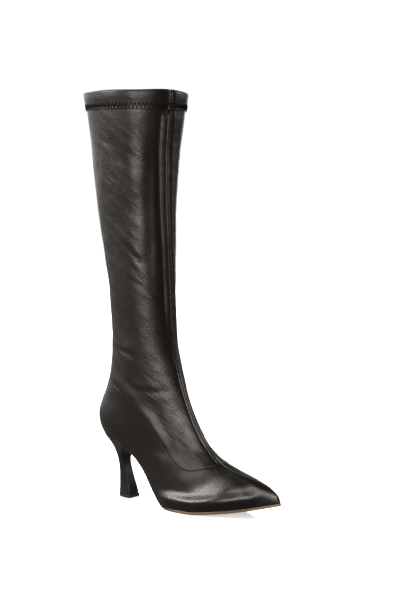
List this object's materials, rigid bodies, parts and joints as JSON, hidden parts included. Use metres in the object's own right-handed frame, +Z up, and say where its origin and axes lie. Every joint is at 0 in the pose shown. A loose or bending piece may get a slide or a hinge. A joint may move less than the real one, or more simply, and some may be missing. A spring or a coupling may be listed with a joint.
{
  "type": "knee-high boot",
  "caption": "Knee-high pull-on boot for the right foot in soft black leather, with a pointed toe, a slim flared heel and a stitched elastic collar band.",
  "frame": {"origin": "bottom centre of the boot's bounding box, on the floor it stands on", "axes": "+X from the heel towards the toe, +Y to the wearer's left, which is the boot's inner side, +Z up the leg"},
  "size_m": [0.2592, 0.1086, 0.4799],
  "materials": {
    "leather": "soft satin",
    "insole": "matt",
    "outsole": "matt",
    "top_lift": "matt"
  },
  "bodies": {
    "root": {"upper": "leather", "shaft": "leather", "topband": "leather", "heel": "leather", "insole": "insole", "outsole": "outsole", "top_lift": "top_lift"}
  },
  "joints": []
}
